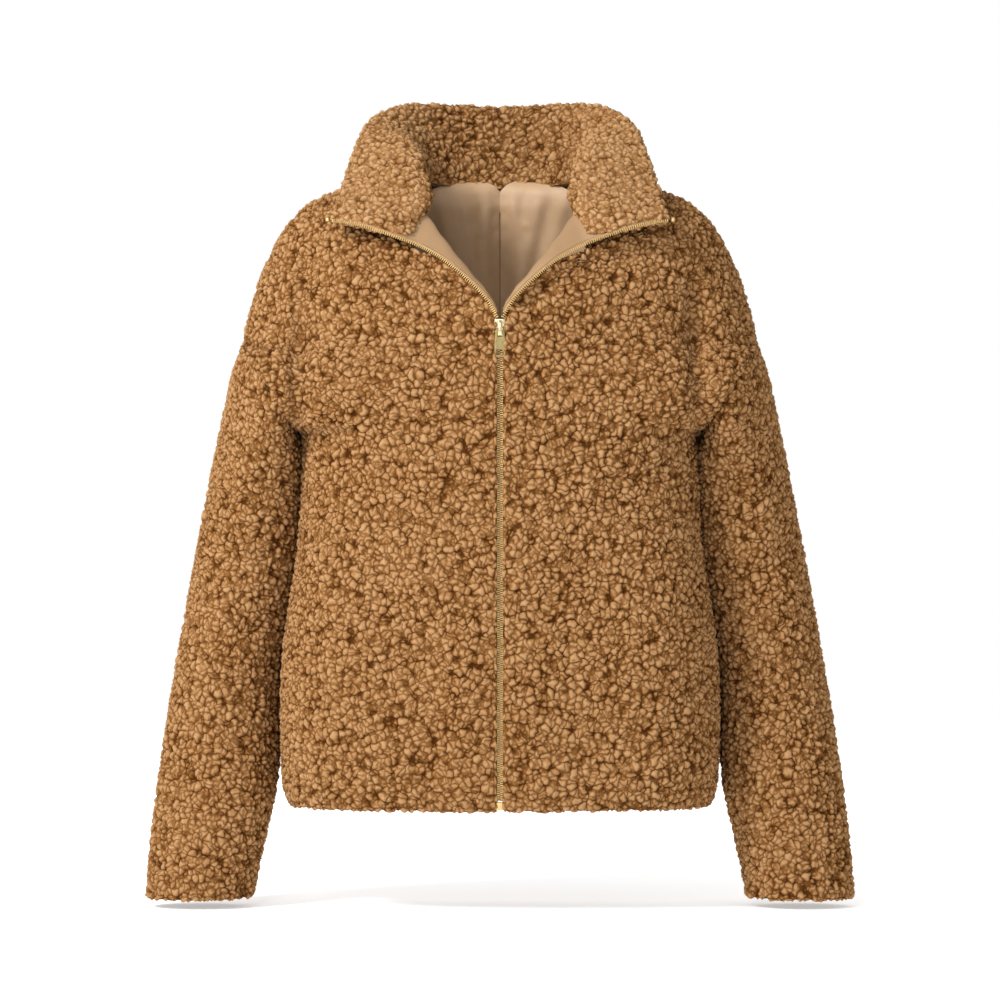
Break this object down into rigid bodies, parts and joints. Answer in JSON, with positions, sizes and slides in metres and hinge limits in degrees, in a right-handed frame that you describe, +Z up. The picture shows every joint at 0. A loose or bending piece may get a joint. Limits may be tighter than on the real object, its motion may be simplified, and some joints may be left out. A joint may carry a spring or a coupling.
{
  "type": "pile fleece zip jacket",
  "caption": "Short boxy pile fleece jacket, filled out and hollow, with dropped sleeves, a stand collar turned open, a lining and a metal front zip closed to the chest.",
  "frame": {"origin": "on the jacket's middle plane between the shoulders, at the height of the side of the neck, where the wearer's shoulders hold it", "axes": "+Z up, -Y towards the front with the zip, +X towards the wearer's left sleeve"},
  "size_m": [0.71, 0.238, 0.8008],
  "materials": {
    "fleece": "camel pile fleece with dense short curls, matt",
    "lining": "smooth taupe woven lining with a soft sheen",
    "tape": "tan woven zip tape",
    "brass": "pale polished brass"
  },
  "bodies": {
    "jacket": {"front_left": "fleece", "front_right": "fleece", "back": "fleece", "sleeve_left": "fleece", "sleeve_right": "fleece", "collar_outer": "fleece", "collar_inner": "fleece", "lining_front_left": "lining", "lining_front_right": "lining", "lining_back_left": "lining", "lining_back_right": "lining", "facing_left": "lining", "facing_right": "lining", "zip_tape_closed_left": "tape", "zip_tape_closed_right": "tape", "zip_tape_open_left": "tape", "zip_tape_open_right": "tape", "zip_teeth_closed_left": "brass", "zip_teeth_closed_right": "brass", "zip_teeth_open_left": "brass", "zip_teeth_open_right": "brass", "zip_slider": "brass", "zip_stop_left": "brass", "zip_stop_right": "brass", "zip_box": "brass"},
    "pull": {"zip_pull": "brass"}
  },
  "joints": [
    {"name": "pull_swing", "type": "hinge", "parent": "jacket", "child": "pull", "pos_m": [0, -0.1172, -0.13], "axis": [-1, 0, 0], "range_deg": [0, 150]}
  ]
}
